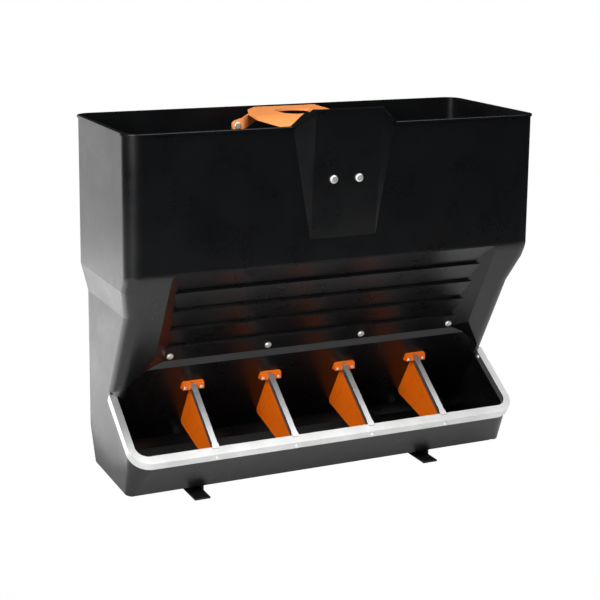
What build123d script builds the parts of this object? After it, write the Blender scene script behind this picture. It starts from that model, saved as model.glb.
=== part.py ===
"""Piglet feeder: one moulded hopper and trough with four dividers, a steel rim and a lift-up feed gate.

X is across the feeder, Y points to its back and Z up. The origin is on the ground under its middle.
Depths are measured forward from the back of the rim, heights upward from the underside of the body.
"""
import os
from math import atan2, cos, degrees, radians, sin, tan

from build123d import *

# Hopper
rim_width = 1000.0
rim_depth = 383.0
rim_height = 814.0
wall = 7.0
rim_lip = 3.0
rim_lip_height = 5.0
corner_radius = 36.0
front_break_height = 503.0
step_below_break = 30.0
step_height = 66.0
side_step = 16.5
waist_depth = 225.0
waist_height = 223.0
break_radius = 45.0

# Raised bay in the front wall, where the latch sits
bay_crest_half_width = 80.0
bay_base_half_width = 124.0
bay_rise = 37.0
bay_reach = 25.0
bay_foot_height = 563.0

# Sunken panel with its slats
panel_mouth_half_width = 400.0
panel_above_break = 7.0
slat_count = 4
first_slat_inset = 41.0
first_slat_drop = 44.0
last_slat_inset = 16.0
last_slat_rise = 40.2
slat_ledge = 5.0
lip_depth = 236.0
lip_top_height = 280.0
lip_face_height = 17.0
lip_face_lean = 3.0
post_toe_half_width = 455.0
post_knee_height = 300.0
cheek_run = 1.7
mouth_reach = 30.0

# Throat wall between hopper and trough
throat_depth = 101.0
throat_height = 55.0

# Trough
heel_height = 75.0
sole_back_depth = 38.0
sole_front_depth = 299.0
trough_lip_height = 97.0
rim_tilt = 33.0
arm_end_depth = 195.0
trough_corner_radius = 45.0
sole_corner_radius = 15.0
sole_radius = 6.0
edge_bead_height = 27.0

# Steel rim round the trough's edge
sheet = 1.5
fit_gap = 0.3
trim_width = 21.0
arm_width = 16.0
trim_proud = 4.0
skirt_height = 21.0
inner_leg_height = 18.0
rim_screw_drop = 13.0
arm_screw_depth = 213.0
arm_screw_drop = 10.0
rim_screw_radius = 2.5
rim_screw_length = 14.0
rim_screw_head_radius = 5.0
rim_screw_head = 2.5

# Dividers
divider_pitch = 192.7
divider_count = 4
bar_tilt = 36.0
bar_length = 181.0
bar_width = 13.0
bar_height = 13.0
tab_front = 12.0
tab_length = 11.0
tab_flare = 5.0
tab_width = 16.0
plate_thickness = 5.0
plate_rear_height = 94.0
plate_fall_angle = 13.2
plate_clearance = 1.0
plate_corner_radius = 9.0
plate_top_drop = 12.0
rib_width = 2.0
rib_rise = 0.8
long_rib_top = (217.0, 170.0)
long_rib_foot = (151.0, 92.0)
short_rib_top = (255.0, 129.0)
short_rib_foot = (209.0, 82.0)
head_width = 52.0
head_height = 23.0
head_centre_height = 206.5
head_corner_radius = 6.0
head_brow = 3.0
head_chin_reach = 20.0
head_chin_rise = 3.0
head_notch_rise = 3.0
head_notch_width = 17.0
head_screw_spacing = 39.0
head_screw_rise = 4.0
head_screw_radius = 2.5
head_screw_length = 10.0
head_screw_head_radius = 3.8
head_screw_head = 2.0

# Feet
foot_height = 25.0
foot_thickness = 4.0
foot_sole_width = 37.0
foot_flange_width = 34.0
foot_web_x = 292.0
foot_front_depth = 318.0
foot_back_depth = 50.0
web_front_depth = 276.0
web_back_depth = 84.0
foot_bolt_front_depth = 245.0
foot_bolt_back_depth = 115.0
foot_bolt_radius = 4.0

# Feed gate with its lift straps and handle
gate_half_width = 464.0
gate_thickness = 2.5
gate_bottom = 58.0
gate_front_depth = 90.0
gate_fold_height = 150.0
gate_fold_radius = 4.0
gate_top = 206.0
strap_x = 144.0
strap_front_depth = 112.0
strap_width = 25.0
strap_thickness = 3.0
strap_bottom = 155.0
strap_end = 12.5
gate_bolt_low = 168.0
gate_bolt_high = 191.0
strap_bolt_radius = 4.0
strap_bolt_head_radius = 8.0
strap_bolt_head = 3.5
handle_bolt_height = 784.0
handle_thickness = 6.0
leg_width = 26.0
leg_root_x = 65.0
leg_root_height = 805.0
leg_knee_inset = 14.0
leg_knee_radius = 12.0
grip_back_depth = 60.0
grip_back_height = 815.0
grip_back_half_width = 68.0
grip_fold_depth = 158.0
grip_fold_height = 803.0
grip_fold_half_width = 113.0
grip_fold_radius = 110.0
apron_foot_depth = 202.0
apron_foot_height = 776.0
apron_corner_half_width = 67.0
apron_corner_height = 786.0
apron_foot_half_width = 40.0
grip_hole_length = 90.0
grip_hole_depth = 98.0
grip_hole_back_depth = 84.0
grip_hole_front_depth = 140.0
tongue_half_width = 18.0
tongue_depth = 368.0
tongue_thickness = 5.0
tongue_bottom = 640.0
tongue_knee_height = 768.0
notch_pitch = 12.0
notch_count = 6
notch_size = 5.0

# Latch block on the inside of the bay, and the bolts through it
bay_bolt_x = 31.0
bay_bolt_height = 696.0
bay_bolt_radius = 4.0
bay_bolt_head_radius = 9.5
bay_bolt_head = 6.0
latch_width = 96.0
latch_height = 28.0
latch_thickness = 27.0
running_gap = 0.6
nut_height = 5.0
nut_across = 13.0

# Slat screws and the stiffener behind them
slat_screw_inner_x = 119.6
slat_screw_outer_x = 357.5
slat_screw_height = 293.0
slat_screw_radius = 3.0
slat_screw_head_radius = 8.0
slat_screw_head = 4.0
stiffener_width = 24.0
stiffener_thickness = 3.0
stiffener_overhang = 14.0

# Values worked out from the sizes above
half_width = rim_width / 2 - rim_lip
low_half_width = half_width - side_step
side_step_top = front_break_height - step_below_break
side_step_bottom = side_step_top - step_height
wall_front_depth = rim_depth - rim_lip
overall_depth = rim_depth + bay_reach
rim_angle = radians(rim_tilt)
bar_angle = radians(bar_tilt)
slope_angle = atan2(wall_front_depth - waist_depth, front_break_height - waist_height)
trough_lip_depth = sole_front_depth + trough_lip_height * tan(rim_angle)
rim_reach = trough_lip_depth + trough_lip_height / tan(rim_angle)
slope_reach = waist_depth - waist_height * tan(slope_angle)
post_foot_height = (rim_reach - slope_reach) / (tan(slope_angle) + 1 / tan(rim_angle))
arm_length = (trough_lip_depth - arm_end_depth) / cos(rim_angle)
lip_bottom_depth = lip_depth - lip_face_lean
lip_bottom_height = lip_top_height - lip_face_height
throat_angle = atan2(lip_bottom_depth - throat_depth, lip_bottom_height - throat_height)
panel_top_height = front_break_height + panel_above_break
first_slat_depth = wall_front_depth - first_slat_inset
first_slat_height = panel_top_height - first_slat_drop
slat_pitch_depth = (first_slat_depth - lip_depth - last_slat_inset) / (slat_count - 1)
slat_pitch_height = (first_slat_height - lip_top_height - last_slat_rise) / (slat_count - 1)
slat_angle = atan2(slat_pitch_depth, slat_pitch_height)
panel_skin = wall + slat_ledge
edge_drop = sheet + fit_gap
sole_drop = trough_lip_height / cos(rim_angle)
inner_back = rim_lip + wall
bay_slant = bay_reach / (rim_height + bay_rise - bay_foot_height)
bay_angle = atan2(bay_slant, 1)
divider_places = [divider_pitch * (number - (divider_count - 1) / 2) for number in range(divider_count)]


def at(depth, height):
    """A point of the side view, as Y and Z, from its depth and height."""
    return (overall_depth / 2 - depth, foot_height + height)


def on_rim(along, out):
    """Depth and height of a point so far up the trough's sloping rim and so far out of its plane."""
    depth = trough_lip_depth - along * cos(rim_angle) + out * sin(rim_angle)
    return (depth, trough_lip_height + along * sin(rim_angle) + out * cos(rim_angle))


def on_bar(along, out):
    """Depth and height of a point so far along a divider's bar and so far out of its underside."""
    start_depth, start_height = on_rim(tab_front, 0)
    depth = start_depth - along * cos(bar_angle) + out * sin(bar_angle)
    return (depth, start_height + along * sin(bar_angle) + out * cos(bar_angle))


def throat_face(height):
    """Depth of the throat wall's trough side at a height."""
    return throat_depth + (height - throat_height) * tan(throat_angle)


def throat_back(height):
    """Depth of the throat wall's hopper side at a height."""
    return throat_face(height) - wall / cos(throat_angle)


def slope_face(height):
    """Depth of the outer front slope at a height."""
    return waist_depth + (height - waist_height) * tan(slope_angle)


def slope_back(height):
    """Depth of the front slope's hopper side at a height."""
    return slope_face(height) - wall / cos(slope_angle)


def slat_face(height):
    """Depth of the line along the slats' front edges at a height."""
    return lip_depth + (height - lip_top_height) * tan(slat_angle)


def slat_back(height):
    """Depth of the sunken panel's hopper side at a height."""
    return slat_face(height) - panel_skin / cos(slat_angle)


def leaning_plane(x, depth, height, angle):
    """A plane whose normal points forward and down by the angle."""
    return Plane(origin=(x, *at(depth, height)), x_dir=(1, 0, 0), z_dir=(0, -cos(angle), -sin(angle)))


rim_plane = Plane(
    origin=(0, *at(trough_lip_depth, trough_lip_height)),
    x_dir=(1, 0, 0),
    z_dir=(0, -sin(rim_angle), cos(rim_angle)),
)
bar_plane = Plane(
    origin=(0, *at(*on_bar(0, 0))),
    x_dir=(1, 0, 0),
    z_dir=(0, -sin(bar_angle), cos(bar_angle)),
)
slope_plane = leaning_plane(0, waist_depth, waist_height, slope_angle)


def side_slab(points, half, middle=0.0):
    """A prism across the feeder from a closed outline of the side view."""
    with BuildPart() as slab:
        with BuildSketch(Plane.YZ.offset(middle)):
            with BuildLine():
                Polyline(*[at(*p) for p in points], close=True)
            make_face()
        extrude(amount=half, both=True)
    return slab.part


def hopper_form(levels, radius):
    """A ruled body through rounded rectangles, each given as height, half width, back and front depth."""
    with BuildPart() as form:
        for height, half, back, front in levels:
            with BuildSketch(Plane.XY.offset(foot_height + height)):
                with Locations((0, at((back + front) / 2, 0)[0])):
                    RectangleRounded(2 * half, front - back, radius)
        loft(ruled=True)
    return form.part


def bay_form(grow, back_depth, lowest):
    """The raised bay, grown on every side: a crest that fades out downwards, cut off by the rim line."""
    spread = (bay_base_half_width - bay_crest_half_width) / (rim_height - bay_foot_height)
    crest = bay_crest_half_width + grow
    front = wall_front_depth + grow
    with BuildPart() as bay:
        for height in (bay_foot_height + 1, rim_height + 2 * bay_rise):
            rise = height - bay_foot_height
            right = [(crest + spread * rise, back_depth), (crest + spread * rise, front)]
            right.append((crest, front + bay_slant * rise))
            with BuildSketch(Plane.XY.offset(foot_height + height)):
                with BuildLine():
                    outline = right + [(-x, depth) for x, depth in reversed(right)]
                    Polyline(*[(x, at(depth, 0)[0]) for x, depth in outline], close=True)
                make_face()
        loft(ruled=True)
        with BuildSketch(Plane.XZ):
            with BuildLine():
                top = rim_height + bay_rise + max(-grow, 0) * 2
                side = bay_base_half_width + grow
                right = [(side, foot_height + lowest), (side, foot_height + rim_height)]
                right.append((crest, foot_height + top))
                Polyline(*(right + [(-x, z) for x, z in reversed(right)]), close=True)
            make_face()
        extrude(amount=overall_depth, both=True, mode=Mode.INTERSECT)
    return bay.part


def rim_outline(side, front, length, radius):
    """The trough's outline on the rim plane, grown at its sides and front, up to a length up the slope."""
    with BuildSketch(Plane.XY) as outline:
        with Locations((0, length)):
            RectangleRounded(2 * (low_half_width + side), 2 * (length + front), radius)
        with Locations((0, length)):
            Rectangle(rim_width, 2 * length, align=(Align.CENTER, Align.MAX), mode=Mode.INTERSECT)
    return outline.sketch


def rim_ring(outer, inner, top, bottom):
    """A band along the trough's edge, open at the back; each edge is grown by its side and front value."""
    with BuildPart() as ring:
        with BuildSketch(rim_plane.offset(bottom)):
            add(rim_outline(*outer, arm_length, trough_corner_radius + outer[1]))
        extrude(amount=top - bottom)
        with BuildSketch(rim_plane.offset(bottom)):
            add(rim_outline(*inner, arm_length + rim_depth, trough_corner_radius + inner[1]))
        extrude(amount=top - bottom, mode=Mode.SUBTRACT)
    return ring.part


def trough_form():
    """Everything inside the trough's outline, whose corners get tighter between the edge and the sole."""
    with BuildPart() as form:
        for out, radius in (
            (2 * rim_depth, trough_corner_radius),
            (-edge_bead_height, trough_corner_radius),
            (-sole_drop, sole_corner_radius),
            (-2 * rim_depth, sole_corner_radius),
        ):
            with BuildSketch(rim_plane.offset(out)):
                add(rim_outline(0, 0, rim_width, radius))
        loft(ruled=True)
    return form.part


def outer_edge(grow):
    """The steel rim's outer edge, grown at its sides and front alike."""
    return (trim_proud + grow, trim_proud + grow)


def inner_edge(grow):
    """The steel rim's inner edge, grown at its sides and front alike."""
    return (trim_proud - arm_width + grow, trim_proud - trim_width + grow)


def domed_bolt(plane, radius, length, head_radius, head_height):
    """A low domed head that stands on the plane, with a plain shank below it."""
    with BuildPart() as bolt:
        with BuildSketch(plane):
            Circle(radius)
        extrude(amount=-length)
        with BuildSketch(plane):
            Circle(head_radius)
        extrude(amount=head_height)
        crown = bolt.edges().filter_by(GeomType.CIRCLE).group_by(Axis(plane.origin, plane.z_dir))[-1]
        fillet(crown, 0.7 * head_height)
    return bolt.part


def bolt_group(planes, sizes):
    """The same bolt on each of the planes, as separate solids in one part."""
    return Compound(children=[domed_bolt(plane, *sizes).solid() for plane in planes])


def nut_seats(planes, back):
    """Seats for nuts on the far side of what the screws pass, at a distance behind their heads."""
    return [Plane(p.from_local_coords((0, 0, -back)), (1, 0, 0), -p.z_dir) for p in planes]


def hex_nuts(planes, radius):
    """A hexagon nut standing on each plane, bored with the running clearance."""
    nuts = []
    for plane in planes:
        with BuildPart() as nut:
            with BuildSketch(plane):
                RegularPolygon(nut_across / 2, 6, major_radius=False)
                Circle(radius + fit_gap, mode=Mode.SUBTRACT)
            extrude(amount=nut_height)
        nuts.append(nut.solid())
    return Compound(children=nuts)


def bores(planes, radius, length):
    """Clearance holes of a radius, running so far below and a little above each plane."""
    drills = []
    for plane in planes:
        with BuildPart() as drill:
            with BuildSketch(plane.offset(-length)):
                Circle(radius + fit_gap)
            extrude(amount=length + slat_ledge)
        drills.append(drill.part)
    return drills


# Planes of the fasteners, each lying where its bolt heads seat
front_screw_planes = [
    Plane(
        origin=rim_plane.from_local_coords((x, -trim_proud, -rim_screw_drop)),
        x_dir=(1, 0, 0),
        z_dir=-rim_plane.y_dir,
    )
    for x in divider_places
]
arm_along = (trough_lip_depth - arm_screw_depth) / cos(rim_angle)
trim_inner_x = low_half_width + trim_proud - arm_width
arm_screw_planes = [
    Plane(
        origin=rim_plane.from_local_coords((side * trim_inner_x, arm_along, -arm_screw_drop)),
        x_dir=rim_plane.y_dir,
        z_dir=(-side, 0, 0),
    )
    for side in (-1, 1)
]
slat_screw_planes = [
    leaning_plane(x, slat_face(slat_screw_height), slat_screw_height, slat_angle)
    for x in (-slat_screw_outer_x, -slat_screw_inner_x, slat_screw_inner_x, slat_screw_outer_x)
]
bay_face_depth = wall_front_depth + bay_slant * (bay_bolt_height - bay_foot_height)
bay_bolt_planes = [
    leaning_plane(x, bay_face_depth, bay_bolt_height, bay_angle) for x in (-bay_bolt_x, bay_bolt_x)
]
head_top = head_centre_height + head_height / 2
head_bottom = head_centre_height - head_height / 2
head_chin = (throat_face(head_bottom + head_chin_rise) + head_chin_reach, head_bottom + head_chin_rise)
head_brow_depth = throat_face(head_top) + fit_gap + head_brow
head_lean = atan2(head_chin[0] - head_brow_depth, head_top - head_chin[1])
head_screw_depth = head_chin[0] - head_screw_rise * tan(head_lean)
head_screw_height = head_chin[1] + head_screw_rise
head_screw_planes = [
    leaning_plane(x + side * head_screw_spacing / 2, head_screw_depth, head_screw_height, -head_lean)
    for x in divider_places
    for side in (-1, 1)
]
foot_bolt_places = [
    (side * foot_web_x + (foot_flange_width + foot_thickness) / 2, at(depth, 0)[0])
    for side in (-1, 1)
    for depth in (foot_bolt_front_depth, foot_bolt_back_depth)
]
foot_bolt_planes = [Plane((x, y, foot_height + wall)) for x, y in foot_bolt_places]

# Hopper and trough, one moulding: the solid outside
outer_levels = [
    (rim_height, half_width, rim_lip, wall_front_depth),
    (front_break_height, half_width, rim_lip, wall_front_depth),
    (side_step_top, half_width, rim_lip, slope_face(side_step_top)),
    (side_step_bottom, low_half_width, rim_lip, slope_face(side_step_bottom)),
    (post_foot_height, low_half_width, rim_lip, slope_face(post_foot_height)),
]
trough_side = [
    (rim_lip, waist_height + wall),
    (rim_lip, heel_height),
    (sole_back_depth, 0),
    (sole_front_depth, 0),
    on_rim(0, -edge_drop),
    on_rim(arm_length + corner_radius, -edge_drop),
]

with BuildPart() as trough_solid:
    add(side_slab(trough_side, low_half_width))
    add(trough_form(), mode=Mode.INTERSECT)
    flank = trough_solid.edges().filter_by(lambda e: abs(e.center().X) > low_half_width - 1)
    upright = flank.filter_by(lambda e: abs(e.tangent_at(0.5).Z) > 0.5)
    fillet(upright.filter_by(lambda e: e.center().Y > at(sole_back_depth, 0)[0]), corner_radius)
    fillet(trough_solid.faces().sort_by(Axis.Z)[0].edges(), sole_radius)

with BuildPart() as rim_band:
    with BuildSketch(Plane.XY.offset(foot_height + rim_height - rim_lip_height)):
        with Locations((0, at(rim_depth / 2, 0)[0])):
            RectangleRounded(rim_width, rim_depth, corner_radius + rim_lip)
    extrude(amount=rim_lip_height)
    fillet(rim_band.edges().group_by(Axis.Z)[-1], rim_lip / 2)

with BuildPart() as hopper_solid:
    add(hopper_form(outer_levels, corner_radius))
    across = hopper_solid.edges().filter_by(Axis.X)
    break_level = foot_height + front_break_height
    fillet(across.filter_by(lambda e: abs(e.center().Z - break_level) < 1), break_radius)
    add(bay_form(0, wall_front_depth - wall, bay_foot_height))
    add(rim_band.part)

with BuildPart() as bay_lip:
    add(bay_form(rim_lip, wall_front_depth - wall, rim_height - rim_lip_height))
    lowered = bay_form(rim_lip + 1, 0, 0)
    add(lowered.translate((0, 0, -rim_lip_height)), mode=Mode.SUBTRACT)

# The sunken panel's recess, and the larger space its wall takes up
slat_points = []
for slat in range(slat_count):
    root_depth = first_slat_depth - slat * slat_pitch_depth
    root_height = first_slat_height - slat * slat_pitch_height
    slat_points += [(root_depth, root_height), (root_depth + slat_ledge, root_height - slat_ledge)]
front_top = post_foot_height - wall
beyond = rim_depth + bay_reach
panel_side = [
    (beyond, panel_top_height),
    (wall_front_depth, panel_top_height),
    *slat_points,
    (lip_depth, lip_top_height),
    (lip_bottom_depth, lip_bottom_height),
    (throat_face(front_top), front_top),
    (beyond, front_top),
]
ledge_rise = wall + rim_lip
panel_skin_side = [
    (beyond, panel_top_height + ledge_rise),
    (wall_front_depth, panel_top_height + ledge_rise),
    (slat_back(first_slat_height + ledge_rise), first_slat_height + ledge_rise),
    (slat_back(lip_top_height), lip_top_height),
    (throat_back(lip_bottom_height - ledge_rise), lip_bottom_height - ledge_rise),
    (throat_back(front_top - wall), front_top - wall),
    (beyond, front_top - wall),
]


def recess_form(outline, grow):
    """The space of an outline of the side view between the sloping cheeks, each moved out by grow."""
    knee = (post_knee_height - waist_height) / cos(slope_angle)
    top = (rim_height - waist_height) / cos(slope_angle)
    with BuildPart() as recess:
        for out in (mouth_reach, -mouth_reach):
            side = panel_mouth_half_width + cheek_run * out + grow
            toe = post_toe_half_width + out / 2 + grow
            right = [(toe, -2 * mouth_reach), (toe, 0), (side, knee + cheek_run * out), (side, top)]
            with BuildSketch(slope_plane.offset(out)):
                with BuildLine():
                    Polyline(*(right + [(-x, up) for x, up in reversed(right)]), close=True)
                make_face()
        loft(ruled=True)
        add(side_slab(outline, low_half_width - wall + grow), mode=Mode.INTERSECT)
    return recess.part


# The hollow inside the hopper and down behind the throat wall
low_joint = lip_bottom_height
cavity_levels = [
    (rim_height + 2 * bay_rise, half_width - wall, inner_back, wall_front_depth - wall),
    (front_break_height, half_width - wall, inner_back, wall_front_depth - wall),
    (side_step_top, half_width - wall, inner_back, slope_back(side_step_top)),
    (side_step_bottom, low_half_width - wall, inner_back, slope_back(side_step_bottom)),
    (low_joint, low_half_width - wall, inner_back, slope_back(low_joint)),
]
heel_slope = sole_back_depth / heel_height
heel_wall = wall * (1 + heel_slope)
throat_side = [
    (inner_back, low_joint),
    (inner_back, heel_height + wall / 2),
    (sole_back_depth + heel_wall - heel_slope * wall, wall),
    (throat_back(throat_height) + wall, wall),
    (throat_back(throat_height) + wall / 3, throat_height + wall / 2),
    (throat_back(low_joint), low_joint),
]
throat_run = throat_depth + (trough_lip_height - throat_height) * tan(throat_angle)
throat_meeting = (trough_lip_depth - throat_run) / (cos(rim_angle) + sin(rim_angle) * tan(throat_angle))
trough_inside = [
    (throat_back(throat_height), wall),
    (rim_depth, wall),
    on_rim(-wall, -edge_drop),
    on_rim(throat_meeting, -edge_drop),
    (throat_depth, throat_height),
    (throat_back(throat_height) + wall / 3, throat_height + wall / 2),
]

with BuildPart() as throat_hollow:
    add(side_slab(throat_side, low_half_width - wall))
    inner_flank = throat_hollow.edges().filter_by(lambda e: abs(e.center().X) > low_half_width - wall - 1)
    inner_heel = inner_flank.filter_by(
        lambda e: e.center().Y > at(sole_back_depth, 0)[0] and abs(e.tangent_at(0.5).Z) > 0.5
    )
    fillet(inner_heel, corner_radius - wall)

with BuildPart() as trough_hollow:
    add(side_slab(trough_inside, low_half_width - wall))
    with BuildSketch(rim_plane.offset(-2 * rim_depth)):
        add(rim_outline(-wall, -wall, rim_width, trough_corner_radius - wall))
    extrude(amount=4 * rim_depth, mode=Mode.INTERSECT)

with BuildPart() as hopper_hollow:
    add(hopper_form(cavity_levels, corner_radius - wall))
    add(recess_form(panel_skin_side, wall), mode=Mode.SUBTRACT)
    add(throat_hollow.part)

with BuildPart() as hopper_body:
    add(hopper_solid.part)
    add(bay_lip.part)
    add(trough_solid.part)
    add(recess_form(panel_side, 0), mode=Mode.SUBTRACT)
    add(hopper_hollow.part, mode=Mode.SUBTRACT)
    add(bay_form(-wall, wall_front_depth - 2 * wall, bay_foot_height), mode=Mode.SUBTRACT)
    add(trough_hollow.part, mode=Mode.SUBTRACT)
    add(rim_ring(outer_edge(-edge_drop), inner_edge(edge_drop), -edge_drop, -edge_bead_height))
    for drill in bores(slat_screw_planes, slat_screw_radius, 2 * panel_skin):
        add(drill, mode=Mode.SUBTRACT)
    for drill in bores(bay_bolt_planes, bay_bolt_radius, 2 * wall):
        add(drill, mode=Mode.SUBTRACT)
    for drill in bores(front_screw_planes + arm_screw_planes, rim_screw_radius, rim_screw_length + fit_gap):
        add(drill, mode=Mode.SUBTRACT)
    for drill in bores(foot_bolt_planes, foot_bolt_radius, 2 * wall):
        add(drill, mode=Mode.SUBTRACT)

hopper_body.part.label = "hopper_body"
os.makedirs("parts", exist_ok=True)
export_step(hopper_body.part, "parts/hopper_body.step")

# Steel rim: a U section round the trough's edge
with BuildPart() as trough_rim:
    add(rim_ring(outer_edge(0), inner_edge(0), 0, -sheet))
    add(rim_ring(outer_edge(0), outer_edge(-sheet), -sheet, -skirt_height))
    add(rim_ring(inner_edge(sheet), inner_edge(0), -sheet, -inner_leg_height))
    arm_end_height = throat_height + (arm_end_depth - throat_depth) / tan(throat_angle)
    body_side = [
        (0, 0),
        (arm_end_depth + fit_gap, 0),
        (arm_end_depth + fit_gap, arm_end_height),
        (throat_face(waist_height) + fit_gap, waist_height),
        (0, waist_height),
    ]
    add(side_slab(body_side, low_half_width + fit_gap), mode=Mode.SUBTRACT)
    post_room = [
        (height, half + fit_gap, back, front + fit_gap / cos(slope_angle))
        for height, half, back, front in outer_levels[-2:]
    ]
    add(hopper_form(post_room, corner_radius + fit_gap), mode=Mode.SUBTRACT)
    for drill in bores(front_screw_planes + arm_screw_planes, rim_screw_radius, 2 * sheet):
        add(drill, mode=Mode.SUBTRACT)
trough_rim.part.label = "trough_rim"
export_step(trough_rim.part, "parts/trough_rim.step")

rim_screw_sizes = (rim_screw_radius, rim_screw_length, rim_screw_head_radius, rim_screw_head)
rim_screws = bolt_group(front_screw_planes + arm_screw_planes, rim_screw_sizes)
rim_screws.label = "rim_screws"
export_step(rim_screws, "parts/rim_screws.step")

# Dividers: plate, top rail and head are one moulding, under a folded steel bar
rail_half = bar_width / 2 - sheet - fit_gap
rail_top = -fit_gap
rail_front = tab_length + sheet
plate_front = trim_width - trim_proud + plate_clearance
plate_rear_depth = throat_face(plate_rear_height) + fit_gap
plate_foot = on_rim(plate_front, 0)
plate_run = plate_foot[0] - plate_rear_depth
foot_out = plate_rear_height - plate_run * tan(radians(plate_fall_angle)) - plate_foot[1]
foot_out = foot_out / (cos(rim_angle) + sin(rim_angle) * tan(radians(plate_fall_angle)))
plate_side = [
    (plate_rear_depth, plate_rear_height),
    on_rim(plate_front, foot_out),
    on_rim(plate_front, -plate_top_drop),
    on_bar(rail_front, -plate_top_drop),
    on_bar(rail_front, rail_top),
    on_bar(bar_length, rail_top),
    (throat_face(head_centre_height) + fit_gap, head_centre_height),
]
rail_side = [
    on_bar(rail_front, -plate_top_drop),
    on_bar(rail_front, rail_top),
    on_bar(bar_length, rail_top),
    on_bar(bar_length, -plate_top_drop),
]
head_side = [
    (throat_face(head_top) + fit_gap, head_top),
    (head_brow_depth, head_top),
    head_chin,
    (throat_face(head_bottom) + fit_gap, head_bottom),
]
bar_room_side = [
    on_bar(0, sheet - bar_height - fit_gap),
    on_bar(0, bar_length),
    on_bar(bar_length + fit_gap, bar_length),
    on_bar(bar_length + fit_gap, sheet - bar_height - fit_gap),
]
for number, x in enumerate(divider_places, start=1):
    with BuildPart() as plate:
        add(side_slab(plate_side, plate_thickness / 2, x))
        low_rear = plate.edges().filter_by(Axis.X).sort_by(Axis.Y)[-3:].sort_by(Axis.Z)[0]
        fillet(low_rear, plate_corner_radius)

    with BuildPart() as divider:
        add(side_slab(head_side, head_width / 2, x))
        with BuildSketch(Plane.XZ):
            with Locations((x, foot_height + head_centre_height)):
                RectangleRounded(head_width, head_height, head_corner_radius)
            with Locations((x, foot_height + head_bottom)):
                Rectangle(head_notch_width, 2 * (head_chin_rise + head_notch_rise), mode=Mode.SUBTRACT)
        extrude(amount=overall_depth, both=True, mode=Mode.INTERSECT)
        add(side_slab(bar_room_side, bar_width / 2 + fit_gap, x), mode=Mode.SUBTRACT)
        screw_pair = head_screw_planes[2 * number - 2 : 2 * number]
        for drill in bores(screw_pair, head_screw_radius, head_screw_length):
            add(drill, mode=Mode.SUBTRACT)
        add(plate.part)
        add(side_slab(rail_side, rail_half, x))
        for top, foot in ((long_rib_top, long_rib_foot), (short_rib_top, short_rib_foot)):
            with BuildSketch(Plane.YZ.offset(x)):
                with BuildLine():
                    Line(at(*top), at(*foot))
                trace(line_width=rib_width)
            extrude(amount=plate_thickness / 2 + rib_rise, both=True)
    divider.part.label = f"divider_{number}"
    export_step(divider.part, f"parts/divider_{number}.step")

    with BuildPart() as bar:
        section = bar_plane.offset(sheet)
        centre = (x, (bar_length + tab_length) / 2)
        with BuildSketch(section):
            with Locations(centre):
                Rectangle(bar_width, bar_length - tab_length)
        extrude(amount=-bar_height)
        with BuildSketch(section.offset(-sheet)):
            with Locations(centre):
                Rectangle(bar_width - 2 * sheet, bar_length - tab_length + 2 * sheet)
        extrude(amount=-bar_height, mode=Mode.SUBTRACT)
        with BuildSketch(section):
            with BuildLine():
                right = [(x + tab_width / 2, 0), (x + tab_width / 2, tab_length - sheet)]
                right.append((x + bar_width / 2, tab_length + tab_flare))
                Polyline(*(right + [(2 * x - px, up) for px, up in reversed(right)]), close=True)
            make_face()
        extrude(amount=-sheet)
    bar.part.label = f"divider_bar_{number}"
    export_step(bar.part, f"parts/divider_bar_{number}.step")

head_screw_sizes = (head_screw_radius, head_screw_length, head_screw_head_radius, head_screw_head)
divider_screws = bolt_group(head_screw_planes, head_screw_sizes)
divider_screws.label = "divider_screws"
export_step(divider_screws, "parts/divider_screws.step")

# Feet: a folded strip with a sole, an upright web and a flange under the trough
for side, name in ((-1, "foot_left"), (1, "foot_right")):
    with BuildPart() as foot:
        middle = at((foot_front_depth + foot_back_depth) / 2, 0)[0]
        web_middle = at((web_front_depth + web_back_depth) / 2, 0)[0]
        left_edge = side * foot_web_x
        with BuildSketch(Plane.XY):
            with Locations((left_edge - foot_sole_width / 2 + foot_thickness / 2, middle)):
                Rectangle(foot_sole_width, foot_front_depth - foot_back_depth)
        extrude(amount=foot_thickness)
        with BuildSketch(Plane.XY):
            with Locations((left_edge, web_middle)):
                Rectangle(foot_thickness, web_front_depth - web_back_depth)
        extrude(amount=foot_height)
        with BuildSketch(Plane.XY.offset(foot_height - foot_thickness)):
            with Locations((left_edge + foot_flange_width / 2 + foot_thickness / 2, web_middle)):
                Rectangle(foot_flange_width + 2 * foot_thickness, web_front_depth - web_back_depth)
        extrude(amount=foot_thickness)
        for drill in bores(foot_bolt_planes, foot_bolt_radius, 2 * foot_height):
            add(drill, mode=Mode.SUBTRACT)
    foot.part.label = name
    export_step(foot.part, f"parts/{name}.step")

foot_bolt_length = wall + foot_thickness + nut_height + running_gap
foot_bolts = bolt_group(
    foot_bolt_planes, (foot_bolt_radius, foot_bolt_length, strap_bolt_head_radius, strap_bolt_head)
)
foot_bolts.label = "foot_bolts"
export_step(foot_bolts, "parts/foot_bolts.step")

foot_nut_seats = [Plane((x, y, foot_height - foot_thickness), z_dir=(0, 0, -1)) for x, y in foot_bolt_places]
foot_nuts = hex_nuts(foot_nut_seats, foot_bolt_radius)
foot_nuts.label = "foot_nuts"
export_step(foot_nuts, "parts/foot_nuts.step")

# Slat screws, with the steel strip behind them that stiffens the panel
slat_strip_plane = leaning_plane(0, slat_face(slat_screw_height), slat_screw_height, slat_angle)
with BuildPart() as panel_strip:
    with BuildSketch(slat_strip_plane.offset(-panel_skin)):
        Rectangle(2 * (slat_screw_outer_x + stiffener_overhang), stiffener_width)
    extrude(amount=-stiffener_thickness)
    for drill in bores(slat_screw_planes, slat_screw_radius, 2 * panel_skin):
        add(drill, mode=Mode.SUBTRACT)
panel_strip.part.label = "panel_strip"
export_step(panel_strip.part, "parts/panel_strip.step")

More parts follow.
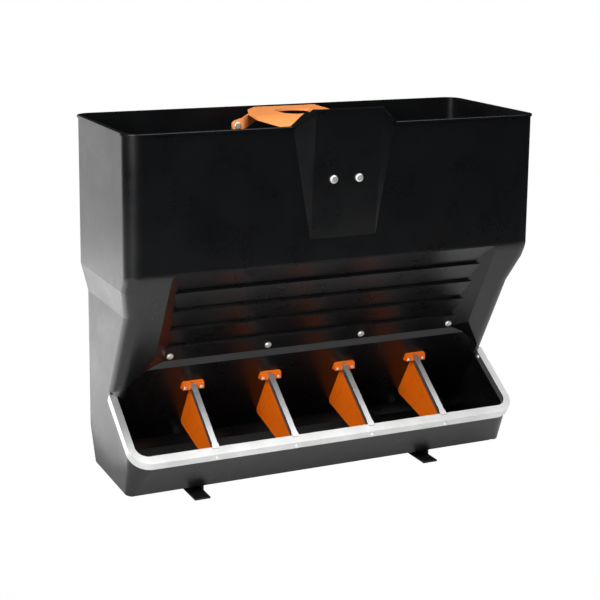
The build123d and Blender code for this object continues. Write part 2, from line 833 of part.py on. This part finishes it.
slat_screw_length = panel_skin + stiffener_thickness + nut_height + running_gap
slat_screws = bolt_group(
    slat_screw_planes, (slat_screw_radius, slat_screw_length, slat_screw_head_radius, slat_screw_head)
)
slat_screws.label = "slat_screws"
export_step(slat_screws, "parts/slat_screws.step")

strip_back = panel_skin + stiffener_thickness
slat_nuts = hex_nuts(nut_seats(slat_screw_planes, strip_back), slat_screw_radius)
slat_nuts.label = "slat_nuts"
export_step(slat_nuts, "parts/slat_nuts.step")

# Latch block behind the bay, bolted through it, with a slot for the handle's tongue
latch_plane = leaning_plane(0, bay_face_depth, bay_bolt_height, bay_angle).offset(-wall)
with BuildPart() as latch_block:
    with BuildSketch(latch_plane):
        RectangleRounded(latch_width, latch_height, running_gap)
    extrude(amount=-latch_thickness)
    slot_back = tongue_depth - running_gap
    slot_front = tongue_depth + tongue_thickness + running_gap
    slot = [(slot_back, 0), (slot_front, 0), (slot_front, rim_height), (slot_back, rim_height)]
    add(side_slab(slot, tongue_half_width + running_gap), mode=Mode.SUBTRACT)
    for drill in bores(bay_bolt_planes, bay_bolt_radius, rim_depth):
        add(drill, mode=Mode.SUBTRACT)
latch_block.part.label = "latch_block"
export_step(latch_block.part, "parts/latch_block.step")

bay_bolt_length = wall + latch_thickness + nut_height + running_gap
bay_bolt_size = (bay_bolt_radius, bay_bolt_length, bay_bolt_head_radius, bay_bolt_head)
bay_bolts = bolt_group(bay_bolt_planes, bay_bolt_size)
bay_bolts.label = "bay_bolts"
export_step(bay_bolts, "parts/bay_bolts.step")

latch_back = wall + latch_thickness
bay_nuts = hex_nuts(nut_seats(bay_bolt_planes, latch_back), bay_bolt_radius)
bay_nuts.label = "bay_nuts"
export_step(bay_nuts, "parts/bay_nuts.step")

# Feed gate: a folded plate behind the throat wall, hung on two straps
gate_back_depth = gate_front_depth - gate_thickness
gate_hang_depth = strap_front_depth + gate_thickness / 2
strap_back_depth = strap_front_depth - strap_thickness
strap_top = handle_bolt_height + strap_end
gate_planes = [
    Plane((x, *at(strap_front_depth + gate_thickness, height)), (1, 0, 0), (0, -1, 0))
    for x in (-strap_x, strap_x)
    for height in (gate_bolt_low, gate_bolt_high)
]
handle_planes = [
    Plane((x, *at(strap_front_depth + handle_thickness, handle_bolt_height)), (1, 0, 0), (0, -1, 0))
    for x in (-strap_x, strap_x)
]
gate_line = [
    (gate_front_depth - gate_thickness / 2, gate_bottom),
    (gate_front_depth - gate_thickness / 2, gate_fold_height),
    (gate_hang_depth, gate_fold_height),
    (gate_hang_depth, gate_top),
]
with BuildPart() as feed_gate:
    with BuildSketch(Plane.YZ):
        with BuildLine():
            FilletPolyline(*[at(*p) for p in gate_line], radius=gate_fold_radius)
            offset(amount=gate_thickness / 2, side=Side.BOTH)
        make_face()
    extrude(amount=gate_half_width, both=True)
    front = at(strap_front_depth + gate_thickness, 0)[0]
    back = at(gate_back_depth, 0)[0]
    with BuildSketch(Plane.XY.offset(foot_height + gate_bottom)):
        with Locations((0, (front + back) / 2)):
            Rectangle(2 * gate_half_width, back - front)
    extrude(amount=gate_top - gate_bottom, mode=Mode.INTERSECT)
    for drill in bores(gate_planes, strap_bolt_radius, wall):
        add(drill, mode=Mode.SUBTRACT)
feed_gate.part.label = "feed_gate"
export_step(feed_gate.part, "parts/feed_gate.step")

for side, name in ((-1, "lift_strap_left"), (1, "lift_strap_right")):
    with BuildPart() as strap:
        with BuildSketch(Plane.XZ.offset(-at(strap_front_depth, 0)[0])):
            with Locations((side * strap_x, foot_height + (strap_top + strap_bottom) / 2)):
                SlotOverall(strap_top - strap_bottom, strap_width, rotation=90)
        extrude(amount=-strap_thickness)
        for drill in bores(gate_planes + handle_planes, strap_bolt_radius, 2 * wall):
            add(drill, mode=Mode.SUBTRACT)
    strap.part.label = name
    export_step(strap.part, f"parts/{name}.step")

gate_bolt_length = gate_thickness + strap_thickness + nut_height + running_gap
bolt_head = (strap_bolt_head_radius, strap_bolt_head)
gate_bolts = bolt_group(gate_planes, (strap_bolt_radius, gate_bolt_length, *bolt_head))
gate_bolts.label = "gate_bolts"
export_step(gate_bolts, "parts/gate_bolts.step")

handle_bolt_length = handle_thickness + strap_thickness + nut_height + running_gap
handle_bolts = bolt_group(handle_planes, (strap_bolt_radius, handle_bolt_length, *bolt_head))
handle_bolts.label = "handle_bolts"
export_step(handle_bolts, "parts/handle_bolts.step")

strap_nut_seats = [
    Plane((plane.origin.X, at(strap_back_depth, 0)[0], plane.origin.Z), (1, 0, 0), (0, 1, 0))
    for plane in gate_planes + handle_planes
]
strap_nuts = hex_nuts(strap_nut_seats, strap_bolt_radius)
strap_nuts.label = "strap_nuts"
export_step(strap_nuts, "parts/strap_nuts.step")

# Handle: grip plate, sloping apron, two legs and a notched tongue, one moulding
grip_top = [
    (grip_back_depth, grip_back_height),
    (grip_fold_depth, grip_fold_height),
    (apron_foot_depth, apron_foot_height),
]
leg_depth = strap_front_depth + handle_thickness / 2
leg_knee_x = strap_x - leg_knee_inset
leg_end_x = strap_x + leg_width / 2
leg_path = [(leg_root_x, grip_back_depth), (leg_knee_x, leg_depth), (leg_end_x, leg_depth)]
leg_fall = leg_root_height - handle_bolt_height
with BuildPart() as legs:
    for side in (-1, 1):
        with BuildSketch(Plane.XY.offset(foot_height + handle_bolt_height - leg_width)):
            with BuildLine():
                leg_points = [(side * x, at(depth, 0)[0]) for x, depth in leg_path]
                FilletPolyline(*leg_points, radius=leg_knee_radius)
                offset(amount=handle_thickness / 2, side=Side.BOTH)
            make_face()
        extrude(amount=leg_fall + 2 * leg_width)
    with BuildSketch(Plane.XZ):
        for side in (-1, 1):
            leg_slope = degrees(atan2(leg_fall, strap_x - leg_root_x))
            leg_middle_height = foot_height + handle_bolt_height + leg_fall / 2
            with Locations((side * (strap_x + leg_root_x) / 2, leg_middle_height)):
                leg_reach = ((strap_x - leg_root_x) ** 2 + leg_fall**2) ** 0.5
                SlotCenterToCenter(leg_reach, leg_width, rotation=-side * leg_slope)
    extrude(amount=overall_depth, both=True, mode=Mode.INTERSECT)
    strap_room = [
        (0, strap_top + leg_width),
        (strap_front_depth, strap_top + leg_width),
        (strap_front_depth, gate_top),
        (0, gate_top),
    ]
    for side in (-1, 1):
        half = strap_width / 2 + fit_gap
        add(side_slab(strap_room, half, side * strap_x), mode=Mode.SUBTRACT)

with BuildPart() as adjusting_handle:
    with BuildSketch(Plane.YZ):
        with BuildLine():
            FilletPolyline(*[at(*p) for p in grip_top], radius=grip_fold_radius)
            offset(amount=handle_thickness / 2, side=Side.BOTH)
        make_face()
    extrude(amount=grip_fold_half_width, both=True)
    with BuildSketch(Plane.XZ):
        with BuildLine():
            right = [
                (grip_back_half_width, grip_back_height + handle_thickness),
                (grip_fold_half_width, grip_fold_height + handle_thickness / 2),
                (grip_fold_half_width, grip_fold_height - handle_thickness / 2),
                (apron_corner_half_width, apron_corner_height),
                (apron_foot_half_width, apron_foot_height - handle_thickness),
            ]
            front = [(x, foot_height + height) for x, height in right]
            Polyline(*(front + [(-x, z) for x, z in reversed(front)]), close=True)
        make_face()
    extrude(amount=overall_depth, both=True, mode=Mode.INTERSECT)
    with BuildSketch(Plane.XY.offset(foot_height + apron_foot_height)):
        with BuildLine():
            tip_y = at(grip_hole_depth, 0)[0]
            tips = [(-grip_hole_length / 2, tip_y), (grip_hole_length / 2, tip_y)]
            ThreePointArc(tips[0], (0, at(grip_hole_back_depth, 0)[0]), tips[1])
            ThreePointArc(tips[0], (0, at(grip_hole_front_depth, 0)[0]), tips[1])
        make_face()
    extrude(amount=rim_depth, mode=Mode.SUBTRACT)
    add(legs.part)
    tongue_front = tongue_depth + tongue_thickness
    tongue_side = [
        (apron_foot_depth - handle_thickness, apron_foot_height + handle_thickness / 2),
        (tongue_front, tongue_knee_height),
        (tongue_front, tongue_bottom),
        (tongue_depth, tongue_bottom),
        (tongue_depth, tongue_knee_height - tongue_thickness),
        (apron_foot_depth - handle_thickness, apron_foot_height - handle_thickness / 2),
    ]
    add(side_slab(tongue_side, tongue_half_width))
    for notch in range(notch_count):
        for side in (-1, 1):
            notch_height = foot_height + tongue_bottom + notch_pitch * (notch + 1)
            with Locations((side * tongue_half_width, at(tongue_depth, 0)[0], notch_height)):
                Box(notch_size, 2 * running_gap + 2 * tongue_thickness, notch_size, mode=Mode.SUBTRACT)
    for drill in bores(handle_planes, strap_bolt_radius, 2 * wall):
        add(drill, mode=Mode.SUBTRACT)
adjusting_handle.part.label = "adjusting_handle"
export_step(adjusting_handle.part, "parts/adjusting_handle.step")
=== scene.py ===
"""Looks of the piglet feeder: its materials, floor, light and camera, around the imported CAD."""
import math

import bpy
from mathutils import Matrix, Vector

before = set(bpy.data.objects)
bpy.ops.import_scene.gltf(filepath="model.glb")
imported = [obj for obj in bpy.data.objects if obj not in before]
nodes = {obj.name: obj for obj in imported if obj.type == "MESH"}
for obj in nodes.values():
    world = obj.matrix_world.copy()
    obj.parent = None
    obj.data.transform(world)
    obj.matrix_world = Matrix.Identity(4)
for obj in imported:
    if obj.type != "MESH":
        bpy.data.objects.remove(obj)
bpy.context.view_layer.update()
scene = bpy.context.scene

# The values between which most of a noise pattern lies
pattern_low = 0.3
pattern_high = 0.7

# Patterns of a moulded skin, in waves to the metre
drift_scale = 7.0
patch_scale = 11.0
swell_scale = 2.6
grain_scale = 420.0
grain_strength = 0.3
plastic_ior = 1.5

# Patterns of rolled sheet, in waves to the metre, with lines that run long one way
cloud_scale = 14.0
line_scale = 3.0
across_lines = 260.0
along_lines = 4.0
line_strength = 0.35
line_gloss = 0.06
line_dullness = 0.08
dull_share = 0.82
along_x = 0
along_z = 2

floor_middle = (-0.2, 0.65, 0.0)
floor_size = (4.8, 3.7)
floor_shade = (0.85, 0.85, 0.85)
floor_roughness = 0.8
white = (1.0, 1.0, 1.0)
studio_shade = (0.03, 0.032, 0.037)

# The camera, fitted to the photo's straight edges and corners: metres, radians and millimetres of lens
camera_place = (-1.40673, -2.97855, 1.25537)
camera_yaw = 0.4347
camera_pitch = 0.1916
camera_roll = -0.0107
focal_length = 87.05
sensor_width = 36.0
lens_shift = -0.15


def new_material(name):
    """A node material with its shader and object coordinates at hand."""
    mat = bpy.data.materials.new(name)
    mat.use_nodes = True
    tree = mat.node_tree
    shader = tree.nodes["Principled BSDF"]
    coords = tree.nodes.new("ShaderNodeTexCoord")
    return mat, tree, shader, coords.outputs["Object"]


def noise(tree, vector, scale, detail=3.0, rough=0.55, stretch=(1, 1, 1)):
    """A noise pattern of the object's own space, optionally stretched."""
    mapping = tree.nodes.new("ShaderNodeMapping")
    mapping.inputs["Scale"].default_value = stretch
    tree.links.new(vector, mapping.inputs["Vector"])
    node = tree.nodes.new("ShaderNodeTexNoise")
    node.inputs["Scale"].default_value = scale
    node.inputs["Detail"].default_value = detail
    node.inputs["Roughness"].default_value = rough
    tree.links.new(mapping.outputs["Vector"], node.inputs["Vector"])
    return node.outputs["Fac"]


def spread(tree, pattern, low, high):
    """A noise pattern spread over the range from low to high."""
    node = tree.nodes.new("ShaderNodeMapRange")
    node.inputs["From Min"].default_value = pattern_low
    node.inputs["From Max"].default_value = pattern_high
    node.inputs["To Min"].default_value = low
    node.inputs["To Max"].default_value = high
    tree.links.new(pattern, node.inputs["Value"])
    return node.outputs["Result"]


def blend_colour(tree, pattern, first, second):
    """Two colours mixed by a noise pattern."""
    node = tree.nodes.new("ShaderNodeMix")
    node.data_type = "RGBA"
    tree.links.new(spread(tree, pattern, 0, 1), node.inputs["Factor"])
    node.inputs["A"].default_value = (*first, 1)
    node.inputs["B"].default_value = (*second, 1)
    return node.outputs["Result"]


def add_bump(tree, shader, height, strength, distance):
    """A bump pattern on the shader, on top of the one it may have."""
    node = tree.nodes.new("ShaderNodeBump")
    node.inputs["Strength"].default_value = strength
    node.inputs["Distance"].default_value = distance
    tree.links.new(height, node.inputs["Height"])
    if shader.inputs["Normal"].is_linked:
        tree.links.new(shader.inputs["Normal"].links[0].from_socket, node.inputs["Normal"])
    tree.links.new(node.outputs["Normal"], shader.inputs["Normal"])


def moulded(name, dark, light, rough, gloss_spread, grain_depth, swell_depth):
    """Moulded plastic: faint colour drift, a satin skin, fine grain and the long waves of a large wall."""
    mat, tree, shader, vector = new_material(name)
    drift = noise(tree, vector, drift_scale, detail=4.0)
    tree.links.new(blend_colour(tree, drift, dark, light), shader.inputs["Base Color"])
    patches = noise(tree, vector, patch_scale, detail=5.0, rough=0.6)
    gloss = spread(tree, patches, rough - gloss_spread, rough + gloss_spread)
    tree.links.new(gloss, shader.inputs["Roughness"])
    add_bump(tree, shader, noise(tree, vector, swell_scale, detail=1.0), 1.0, swell_depth)
    add_bump(tree, shader, noise(tree, vector, grain_scale, detail=2.0), grain_strength, grain_depth)
    shader.inputs["IOR"].default_value = plastic_ior
    return mat


def rolled_steel(name, colour, rough, direction, depth):
    """Steel sheet with its rolling lines along one axis."""
    mat, tree, shader, vector = new_material(name)
    shader.inputs["Metallic"].default_value = 1.0
    stretch = [across_lines] * 3
    stretch[direction] = along_lines
    lines = noise(tree, vector, line_scale, rough=0.6, stretch=stretch)
    cloud = noise(tree, vector, cloud_scale, detail=4.0)
    dull = [dull_share * part for part in colour]
    tree.links.new(blend_colour(tree, cloud, dull, colour), shader.inputs["Base Color"])
    gloss = spread(tree, lines, rough - line_gloss, rough + line_dullness)
    tree.links.new(gloss, shader.inputs["Roughness"])
    add_bump(tree, shader, lines, line_strength, depth)
    return mat


def dress(mat, *names):
    """A material on each of the named nodes."""
    for name in names:
        nodes[name].data.materials.clear()
        nodes[name].data.materials.append(mat)


def numbered(stem):
    """The names of the nodes that a stem and a number make."""
    return [name for name in nodes if name.rpartition("_")[0] == stem and name[-1].isdigit()]


def white_to_camera(tree, other, glowing):
    """A shader that glows white where the camera looks straight at it, and is the other one to all else."""
    glow = tree.nodes.new(glowing)
    glow.inputs["Color"].default_value = (*white, 1)
    glow.inputs["Strength"].default_value = 1.0
    path = tree.nodes.new("ShaderNodeLightPath")
    mix = tree.nodes.new("ShaderNodeMixShader")
    tree.links.new(path.outputs["Is Camera Ray"], mix.inputs["Fac"])
    tree.links.new(other, mix.inputs[1])
    tree.links.new(glow.outputs[0], mix.inputs[2])
    return mix.outputs["Shader"]


def lay_floor():
    """A pale plane under the feeder, plain white to the camera."""
    bpy.ops.mesh.primitive_plane_add(size=1.0, location=floor_middle)
    floor = bpy.context.object
    floor.name = "floor"
    floor.scale = (*floor_size, 1.0)
    mat, tree, shader, vector = new_material("floor_white")
    shader.inputs["Base Color"].default_value = (*floor_shade, 1)
    shader.inputs["Roughness"].default_value = floor_roughness
    surface = white_to_camera(tree, shader.outputs["BSDF"], "ShaderNodeEmission")
    tree.links.new(surface, tree.nodes["Material Output"].inputs["Surface"])
    floor.data.materials.append(mat)


def light_world():
    """A dim studio all round, plain white to the camera."""
    world = bpy.data.worlds.new("studio")
    world.use_nodes = True
    scene.world = world
    tree = world.node_tree
    tree.nodes.clear()
    out = tree.nodes.new("ShaderNodeOutputWorld")
    dim = tree.nodes.new("ShaderNodeBackground")
    dim.inputs["Color"].default_value = (*studio_shade, 1)
    dim.inputs["Strength"].default_value = 1.0
    surface = white_to_camera(tree, dim.outputs["Background"], "ShaderNodeBackground")
    tree.links.new(surface, out.inputs["Surface"])


def softbox(name, place, target, width, height, radiance):
    """A rectangular light of a given brightness that faces a target, unseen by the camera."""
    data = bpy.data.lights.new(name, "AREA")
    data.shape = "RECTANGLE"
    data.size = width
    data.size_y = height
    data.energy = radiance * math.pi * width * height
    light = bpy.data.objects.new(name, data)
    scene.collection.objects.link(light)
    light.location = place
    light.rotation_euler = (Vector(target) - Vector(place)).to_track_quat("-Z", "Y").to_euler()
    light.visible_camera = False


def set_camera():
    """The camera at its place, turned by its yaw, pitch and roll."""
    data = bpy.data.cameras.new("camera")
    data.sensor_width = sensor_width
    data.lens = focal_length
    data.shift_y = lens_shift
    camera = bpy.data.objects.new("camera", data)
    scene.collection.objects.link(camera)
    level = math.cos(camera_pitch)
    forward = Vector((math.sin(camera_yaw) * level, math.cos(camera_yaw) * level, -math.sin(camera_pitch)))
    right = Vector((math.cos(camera_yaw), -math.sin(camera_yaw), 0.0))
    down = forward.cross(right)
    right_rolled = math.cos(camera_roll) * right + math.sin(camera_roll) * down
    down_rolled = math.cos(camera_roll) * down - math.sin(camera_roll) * right
    axes = Matrix((right_rolled, -down_rolled, -forward)).transposed()
    camera.matrix_world = Matrix.Translation(camera_place) @ axes.to_4x4()
    scene.camera = camera


# Plastics
black = moulded(
    "black_moulding", dark=(0.0020, 0.0021, 0.0024), light=(0.0032, 0.0034, 0.0038),
    rough=0.29, gloss_spread=0.04, grain_depth=0.00003, swell_depth=0.0008,
)
guide_black = moulded(
    "guide_plastic", dark=(0.008, 0.008, 0.008), light=(0.012, 0.012, 0.012),
    rough=0.5, gloss_spread=0.06, grain_depth=0.00002, swell_depth=0.0002,
)
orange = moulded(
    "orange_moulding", dark=(0.72, 0.115, 0.002), light=(0.80, 0.150, 0.004),
    rough=0.36, gloss_spread=0.05, grain_depth=0.00001, swell_depth=0.0002,
)
handle_orange = moulded(
    "handle_orange", dark=(0.84, 0.27, 0.07), light=(0.90, 0.33, 0.10),
    rough=0.34, gloss_spread=0.05, grain_depth=0.00001, swell_depth=0.0002,
)
foot_black = moulded(
    "foot_black", dark=(0.004, 0.004, 0.0045), light=(0.007, 0.007, 0.008),
    rough=0.5, gloss_spread=0.06, grain_depth=0.00002, swell_depth=0.0001,
)

# Steels
rim_steel = rolled_steel("rim_steel", (0.84, 0.84, 0.83), rough=0.42, direction=along_x, depth=0.00002)
bar_steel = rolled_steel("bar_steel", (0.70, 0.70, 0.71), rough=0.42, direction=along_x, depth=0.00003)
strap_steel = rolled_steel("strap_steel", (0.70, 0.70, 0.70), rough=0.34, direction=along_z, depth=0.00004)
bright_steel = rolled_steel(
    "fastener_steel", (0.97, 0.96, 0.92), rough=0.50, direction=along_z, depth=0.00001,
)

# Every node has bright steel, the fasteners' material, unless it is given its own
dress(bright_steel, *nodes)
dress(black, "hopper_body")
dress(guide_black, "latch_block")
dress(handle_orange, "adjusting_handle")
dress(orange, *numbered("divider"))
dress(bar_steel, *numbered("divider_bar"))
dress(rim_steel, "trough_rim", "panel_strip")
dress(strap_steel, "feed_gate", "lift_strap_left", "lift_strap_right")
dress(foot_black, "foot_left", "foot_right")

lay_floor()
light_world()
softbox(
    "overhead_front", place=(0.5, -1.2, 3.1), target=(0.0, -0.1, 0.2),
    width=3.0, height=2.2, radiance=4.0,
)
softbox(
    "back_left", place=(-0.95, 1.45, 0.75), target=(-0.5, -0.05, 0.6),
    width=1.0, height=1.3, radiance=1.15,
)
softbox(
    "back_left_floor", place=(-1.20, 1.15, 0.004), target=(-1.20, 1.15, 1.0),
    width=1.3, height=2.0, radiance=1.35,
)
softbox(
    "key_left", place=(-3.0, -2.2, 2.0), target=(0.0, 0.0, 0.2),
    width=2.0, height=2.0, radiance=13.5,
)
set_camera()

scene.view_settings.view_transform = "Standard"
